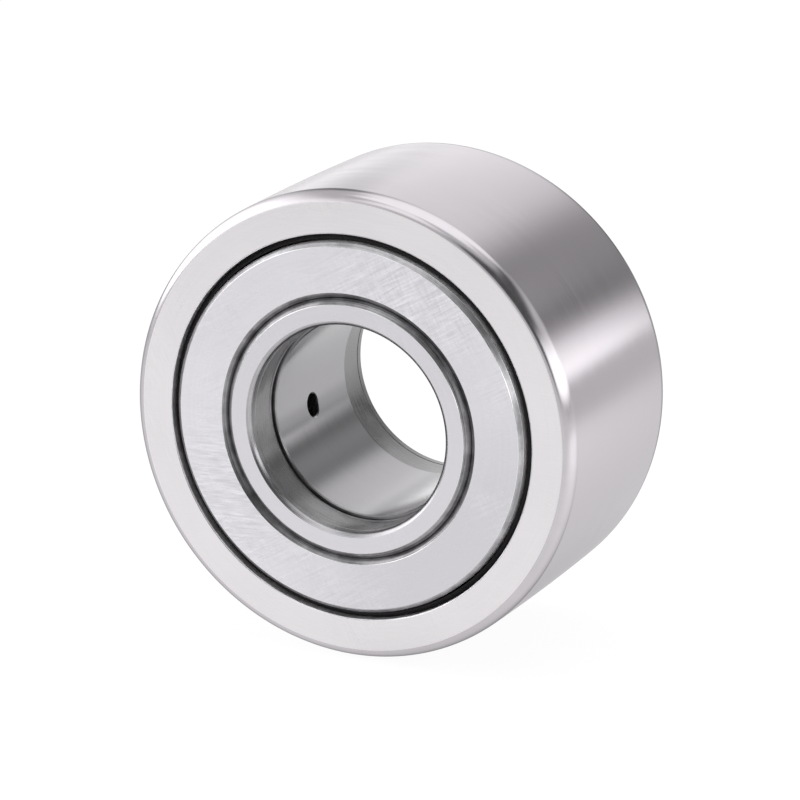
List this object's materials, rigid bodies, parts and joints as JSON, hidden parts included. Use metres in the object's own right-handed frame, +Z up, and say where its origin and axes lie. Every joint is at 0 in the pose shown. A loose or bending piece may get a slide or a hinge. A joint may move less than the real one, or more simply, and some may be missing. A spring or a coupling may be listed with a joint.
{
  "type": "cam follower",
  "caption": "Yoke-type cam follower: a thick crowned outer ring turning on caged needle rollers round a bored inner ring, with pressed side washers and plastic seals.",
  "frame": {"origin": "centre of the roller, on its axis, halfway between the two end faces", "axes": "+Y along the roller's axis towards the back face, the front face looks along -Y, +Z up with the roller standing on its tread"},
  "size_m": [0.047, 0.025, 0.047],
  "materials": {
    "outer_ring_steel": "ground and polished hardened steel",
    "inner_ring_steel": "ground hardened steel, turned in the relieved ends of the bore",
    "washer_steel": "lapped steel with fine crossing scratches",
    "cage_steel": "plain steel",
    "needle_steel": "superfinished bearing steel",
    "seal_plastic": "black moulded plastic"
  },
  "bodies": {
    "inner_set": {"inner_ring": "inner_ring_steel", "front_side_washer": "washer_steel", "back_side_washer": "washer_steel"},
    "outer_set": {"outer_ring": "outer_ring_steel", "front_seal_ring": "seal_plastic", "back_seal_ring": "seal_plastic"},
    "cage": {"needle_cage": "cage_steel"},
    "needle_01_body": {"needle_01": "needle_steel"},
    "needle_02_body": {"needle_02": "needle_steel"},
    "needle_03_body": {"needle_03": "needle_steel"},
    "needle_04_body": {"needle_04": "needle_steel"},
    "needle_05_body": {"needle_05": "needle_steel"},
    "needle_06_body": {"needle_06": "needle_steel"},
    "needle_07_body": {"needle_07": "needle_steel"},
    "needle_08_body": {"needle_08": "needle_steel"},
    "needle_09_body": {"needle_09": "needle_steel"},
    "needle_10_body": {"needle_10": "needle_steel"},
    "needle_11_body": {"needle_11": "needle_steel"},
    "needle_12_body": {"needle_12": "needle_steel"},
    "needle_13_body": {"needle_13": "needle_steel"},
    "needle_14_body": {"needle_14": "needle_steel"},
    "needle_15_body": {"needle_15": "needle_steel"},
    "needle_16_body": {"needle_16": "needle_steel"},
    "needle_17_body": {"needle_17": "needle_steel"},
    "needle_18_body": {"needle_18": "needle_steel"},
    "needle_19_body": {"needle_19": "needle_steel"},
    "needle_20_body": {"needle_20": "needle_steel"}
  },
  "joints": [
    {"name": "outer_ring_spin", "type": "hinge", "parent": "inner_set", "child": "outer_set", "pos_m": [0, 0, 0], "axis": [0, 1, 0], "continuous": true},
    {"name": "cage_orbit", "type": "hinge", "parent": "inner_set", "child": "cage", "pos_m": [0, 0, 0], "axis": [0, 1, 0], "continuous": true},
    {"name": "needle_01_spin", "type": "hinge", "parent": "cage", "child": "needle_01_body", "pos_m": [0, 0, 0.0145], "axis": [0, 1, 0], "continuous": true},
    {"name": "needle_02_spin", "type": "hinge", "parent": "cage", "child": "needle_02_body", "pos_m": [0.00448, 0, 0.01379], "axis": [0, 1, 0], "continuous": true},
    {"name": "needle_03_spin", "type": "hinge", "parent": "cage", "child": "needle_03_body", "pos_m": [0.00852, 0, 0.01173], "axis": [0, 1, 0], "continuous": true},
    {"name": "needle_04_spin", "type": "hinge", "parent": "cage", "child": "needle_04_body", "pos_m": [0.01173, 0, 0.00852], "axis": [0, 1, 0], "continuous": true},
    {"name": "needle_05_spin", "type": "hinge", "parent": "cage", "child": "needle_05_body", "pos_m": [0.01379, 0, 0.00448], "axis": [0, 1, 0], "continuous": true},
    {"name": "needle_06_spin", "type": "hinge", "parent": "cage", "child": "needle_06_body", "pos_m": [0.0145, 0, 0], "axis": [0, 1, 0], "continuous": true},
    {"name": "needle_07_spin", "type": "hinge", "parent": "cage", "child": "needle_07_body", "pos_m": [0.01379, 0, -0.00448], "axis": [0, 1, 0], "continuous": true},
    {"name": "needle_08_spin", "type": "hinge", "parent": "cage", "child": "needle_08_body", "pos_m": [0.01173, 0, -0.00852], "axis": [0, 1, 0], "continuous": true},
    {"name": "needle_09_spin", "type": "hinge", "parent": "cage", "child": "needle_09_body", "pos_m": [0.00852, 0, -0.01173], "axis": [0, 1, 0], "continuous": true},
    {"name": "needle_10_spin", "type": "hinge", "parent": "cage", "child": "needle_10_body", "pos_m": [0.00448, 0, -0.01379], "axis": [0, 1, 0], "continuous": true},
    {"name": "needle_11_spin", "type": "hinge", "parent": "cage", "child": "needle_11_body", "pos_m": [0, 0, -0.0145], "axis": [0, 1, 0], "continuous": true},
    {"name": "needle_12_spin", "type": "hinge", "parent": "cage", "child": "needle_12_body", "pos_m": [-0.00448, 0, -0.01379], "axis": [0, 1, 0], "continuous": true},
    {"name": "needle_13_spin", "type": "hinge", "parent": "cage", "child": "needle_13_body", "pos_m": [-0.00852, 0, -0.01173], "axis": [0, 1, 0], "continuous": true},
    {"name": "needle_14_spin", "type": "hinge", "parent": "cage", "child": "needle_14_body", "pos_m": [-0.01173, 0, -0.00852], "axis": [0, 1, 0], "continuous": true},
    {"name": "needle_15_spin", "type": "hinge", "parent": "cage", "child": "needle_15_body", "pos_m": [-0.01379, 0, -0.00448], "axis": [0, 1, 0], "continuous": true},
    {"name": "needle_16_spin", "type": "hinge", "parent": "cage", "child": "needle_16_body", "pos_m": [-0.0145, 0, 0], "axis": [0, 1, 0], "continuous": true},
    {"name": "needle_17_spin", "type": "hinge", "parent": "cage", "child": "needle_17_body", "pos_m": [-0.01379, 0, 0.00448], "axis": [0, 1, 0], "continuous": true},
    {"name": "needle_18_spin", "type": "hinge", "parent": "cage", "child": "needle_18_body", "pos_m": [-0.01173, 0, 0.00852], "axis": [0, 1, 0], "continuous": true},
    {"name": "needle_19_spin", "type": "hinge", "parent": "cage", "child": "needle_19_body", "pos_m": [-0.00852, 0, 0.01173], "axis": [0, 1, 0], "continuous": true},
    {"name": "needle_20_spin", "type": "hinge", "parent": "cage", "child": "needle_20_body", "pos_m": [-0.00448, 0, 0.01379], "axis": [0, 1, 0], "continuous": true}
  ],
  "couplings": [
    {"joint": "cage_orbit", "follows": "outer_ring_spin", "ratio": 0.55172},
    {"joint": "needle_01_spin", "follows": "outer_ring_spin", "ratio": 4.7816},
    {"joint": "needle_02_spin", "follows": "outer_ring_spin", "ratio": 4.7816},
    {"joint": "needle_03_spin", "follows": "outer_ring_spin", "ratio": 4.7816},
    {"joint": "needle_04_spin", "follows": "outer_ring_spin", "ratio": 4.7816},
    {"joint": "needle_05_spin", "follows": "outer_ring_spin", "ratio": 4.7816},
    {"joint": "needle_06_spin", "follows": "outer_ring_spin", "ratio": 4.7816},
    {"joint": "needle_07_spin", "follows": "outer_ring_spin", "ratio": 4.7816},
    {"joint": "needle_08_spin", "follows": "outer_ring_spin", "ratio": 4.7816},
    {"joint": "needle_09_spin", "follows": "outer_ring_spin", "ratio": 4.7816},
    {"joint": "needle_10_spin", "follows": "outer_ring_spin", "ratio": 4.7816},
    {"joint": "needle_11_spin", "follows": "outer_ring_spin", "ratio": 4.7816},
    {"joint": "needle_12_spin", "follows": "outer_ring_spin", "ratio": 4.7816},
    {"joint": "needle_13_spin", "follows": "outer_ring_spin", "ratio": 4.7816},
    {"joint": "needle_14_spin", "follows": "outer_ring_spin", "ratio": 4.7816},
    {"joint": "needle_15_spin", "follows": "outer_ring_spin", "ratio": 4.7816},
    {"joint": "needle_16_spin", "follows": "outer_ring_spin", "ratio": 4.7816},
    {"joint": "needle_17_spin", "follows": "outer_ring_spin", "ratio": 4.7816},
    {"joint": "needle_18_spin", "follows": "outer_ring_spin", "ratio": 4.7816},
    {"joint": "needle_19_spin", "follows": "outer_ring_spin", "ratio": 4.7816},
    {"joint": "needle_20_spin", "follows": "outer_ring_spin", "ratio": 4.7816}
  ]
}
